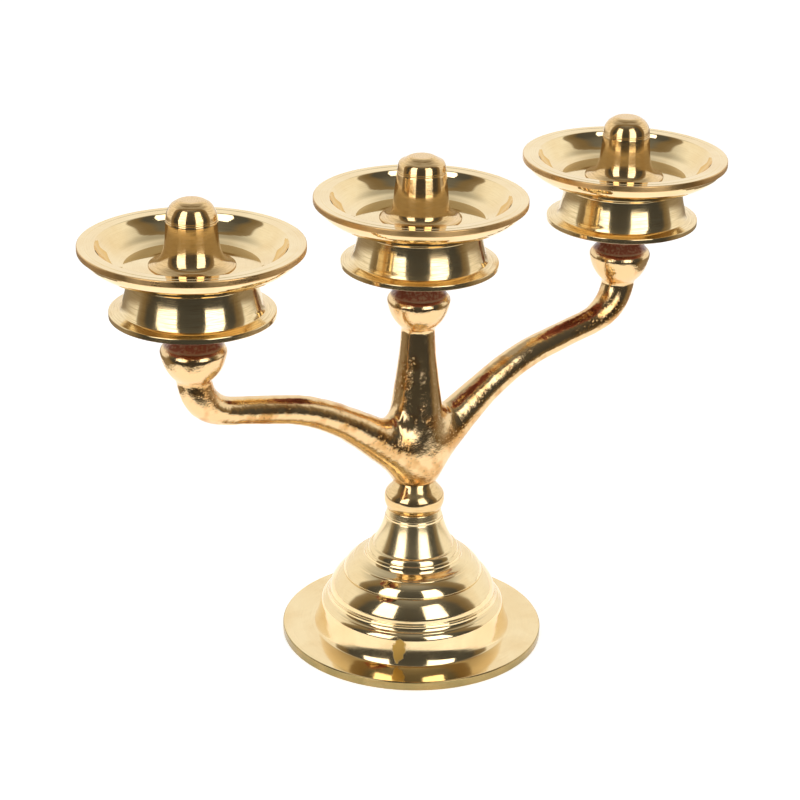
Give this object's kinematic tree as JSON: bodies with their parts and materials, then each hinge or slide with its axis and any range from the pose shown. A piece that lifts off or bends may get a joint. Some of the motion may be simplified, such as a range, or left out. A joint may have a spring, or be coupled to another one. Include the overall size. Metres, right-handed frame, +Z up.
{
  "type": "tabletop candelabra",
  "caption": "Brass table candelabra: stepped round foot, cast branch with two curved arms and a centre column, and dished pans on spools held by bell-shaped nuts.",
  "frame": {"origin": "centre of the foot's resting face, on the table", "axes": "+Z up along the column, X along the two arms (the left head at -X), Y across them"},
  "size_m": [0.31, 0.1144, 0.2195],
  "materials": {
    "turned_brass": "turned and mirror polished",
    "spool_brass": "turned with fine lathe lines, red oxide primer on the underside",
    "cast_brass": "sand cast and buffed, with small pits and a parting line",
    "stud_steel": "plain threaded rod",
    "fastener_steel": "plain bright"
  },
  "bodies": {
    "foot": {"foot": "turned_brass", "knop": "turned_brass", "foot_stud": "stud_steel", "foot_washer": "fastener_steel", "foot_nut": "fastener_steel"},
    "branch": {"branch": "cast_brass", "left_stud": "stud_steel", "middle_stud": "stud_steel", "right_stud": "stud_steel"},
    "left_spool": {"left_spool": "spool_brass"},
    "left_pan": {"left_pan": "turned_brass"},
    "left_bell_nut": {"left_bell_nut": "turned_brass"},
    "middle_spool": {"middle_spool": "spool_brass"},
    "middle_pan": {"middle_pan": "turned_brass"},
    "middle_bell_nut": {"middle_bell_nut": "turned_brass"},
    "right_spool": {"right_spool": "spool_brass"},
    "right_pan": {"right_pan": "turned_brass"},
    "right_bell_nut": {"right_bell_nut": "turned_brass"}
  },
  "joints": [
    {"name": "branch_swivel", "type": "hinge", "parent": "foot", "child": "branch", "pos_m": [0, 0, 0.0735], "axis": [0, 0, 1], "range_deg": [-180, 180]},
    {"name": "left_spool_lift", "type": "slide", "parent": "branch", "child": "left_spool", "axis": [0, 0, 1], "range_m": [0, 0.024]},
    {"name": "left_pan_lift", "type": "slide", "parent": "left_spool", "child": "left_pan", "axis": [0, 0, 1], "range_m": [0, 0.022]},
    {"name": "left_bell_nut_lift", "type": "slide", "parent": "left_pan", "child": "left_bell_nut", "axis": [0, 0, 1], "range_m": [0, 0.018]},
    {"name": "middle_spool_lift", "type": "slide", "parent": "branch", "child": "middle_spool", "axis": [0, 0, 1], "range_m": [0, 0.024]},
    {"name": "middle_pan_lift", "type": "slide", "parent": "middle_spool", "child": "middle_pan", "axis": [0, 0, 1], "range_m": [0, 0.022]},
    {"name": "middle_bell_nut_lift", "type": "slide", "parent": "middle_pan", "child": "middle_bell_nut", "axis": [0, 0, 1], "range_m": [0, 0.018]},
    {"name": "right_spool_lift", "type": "slide", "parent": "branch", "child": "right_spool", "axis": [0, 0, 1], "range_m": [0, 0.024]},
    {"name": "right_pan_lift", "type": "slide", "parent": "right_spool", "child": "right_pan", "axis": [0, 0, 1], "range_m": [0, 0.022]},
    {"name": "right_bell_nut_lift", "type": "slide", "parent": "right_pan", "child": "right_bell_nut", "axis": [0, 0, 1], "range_m": [0, 0.018]}
  ]
}
